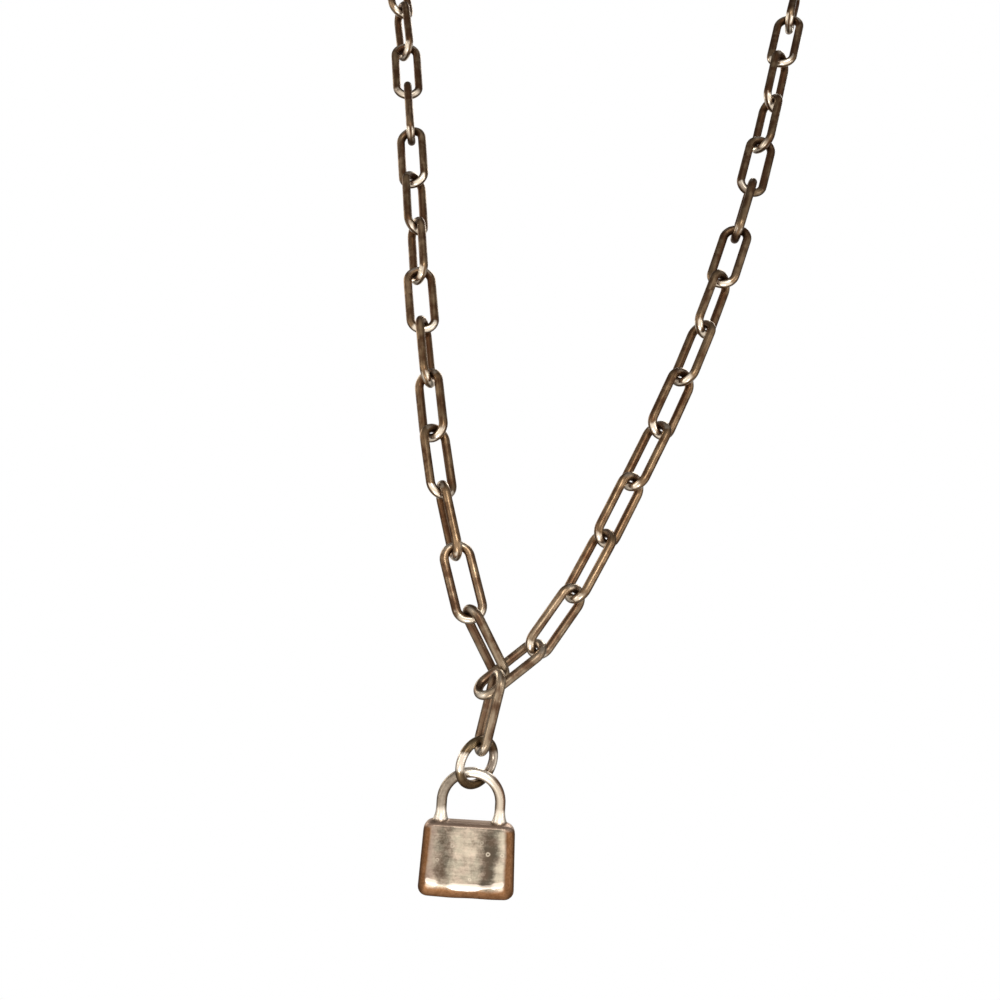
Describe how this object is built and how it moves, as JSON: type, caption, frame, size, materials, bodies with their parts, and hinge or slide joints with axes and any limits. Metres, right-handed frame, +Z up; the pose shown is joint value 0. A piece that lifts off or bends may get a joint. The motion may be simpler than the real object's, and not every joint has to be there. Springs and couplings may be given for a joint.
{
  "type": "padlock pendant necklace",
  "caption": "Padlock charm on a jump ring and oval drop link, hanging from a long-link chain necklace as worn, whole loop with a clasp at the nape.",
  "frame": {"origin": "middle of the clasp at the nape of the neck, where the necklace is held as worn", "axes": "+X to the right of the front view, +Y from the padlock to the nape, +Z up"},
  "size_m": [0.1057, 0.1386, 0.1628],
  "materials": {
    "chain_metal": "aged gold-brown metal, worn bright on the bends",
    "padlock_metal": "brushed champagne metal, copper-brown on the rounded rims"
  },
  "bodies": {
    "root": {"clasp": "chain_metal", "left_back_chain": "chain_metal", "left_link_01": "chain_metal", "left_link_02": "chain_metal", "left_link_03": "chain_metal", "left_link_04": "chain_metal", "left_link_05": "chain_metal", "left_link_06": "chain_metal", "left_link_07": "chain_metal", "left_link_08": "chain_metal", "left_link_09": "chain_metal", "left_link_10": "chain_metal", "left_link_11": "chain_metal", "left_link_12": "chain_metal", "left_link_13": "chain_metal", "right_back_chain": "chain_metal", "right_link_01": "chain_metal", "right_link_02": "chain_metal", "right_link_03": "chain_metal", "right_link_04": "chain_metal", "right_link_05": "chain_metal", "right_link_06": "chain_metal", "right_link_07": "chain_metal", "right_link_08": "chain_metal", "right_link_09": "chain_metal", "right_link_10": "chain_metal", "right_link_11": "chain_metal", "right_link_12": "chain_metal", "right_link_13": "chain_metal", "right_link_14": "chain_metal"},
    "drop_link": {"drop_link": "chain_metal"},
    "jump_ring": {"jump_ring": "chain_metal"},
    "padlock": {"padlock": "padlock_metal"}
  },
  "joints": [
    {"name": "drop_swing", "type": "hinge", "parent": "root", "child": "drop_link", "pos_m": [0.00215, -0.13426, -0.13895], "axis": [0.959, 0.2647, 0.1012], "range_deg": [-60, 20]},
    {"name": "ring_swing", "type": "hinge", "parent": "drop_link", "child": "jump_ring", "pos_m": [0.0015, -0.13453, -0.14407], "axis": [0.8065, 0.5912, -0.0075], "range_deg": [-60, 60]},
    {"name": "padlock_swing", "type": "hinge", "parent": "jump_ring", "child": "padlock", "pos_m": [0.00119, -0.1342, -0.14753], "axis": [0.9388, -0.3428, 0.0328], "range_deg": [-60, 60]}
  ]
}
